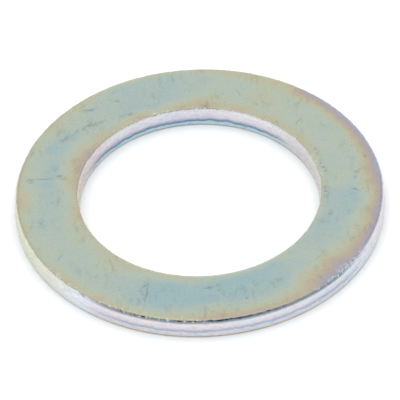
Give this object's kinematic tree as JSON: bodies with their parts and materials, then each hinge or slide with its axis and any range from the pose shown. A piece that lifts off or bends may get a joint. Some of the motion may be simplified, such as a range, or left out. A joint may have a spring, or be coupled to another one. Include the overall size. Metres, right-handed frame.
{
  "type": "flat washer",
  "caption": "Flat steel ring washer with a wide plain bore and stamped edges, which spreads a clamping load around a pin or bolt.",
  "frame": {"origin": "centre of the underside, on the bore's axis", "axes": "+Z along the bore's axis, from the rolled-over underside to the upper face with the lips; X and Y are free, because the part is round"},
  "size_m": [0.034, 0.034, 0.002],
  "materials": {
    "zinc_plate": "bright zinc plating with a thin iridescent passivate film"
  },
  "bodies": {
    "root": {"washer": "zinc_plate"}
  },
  "joints": []
}
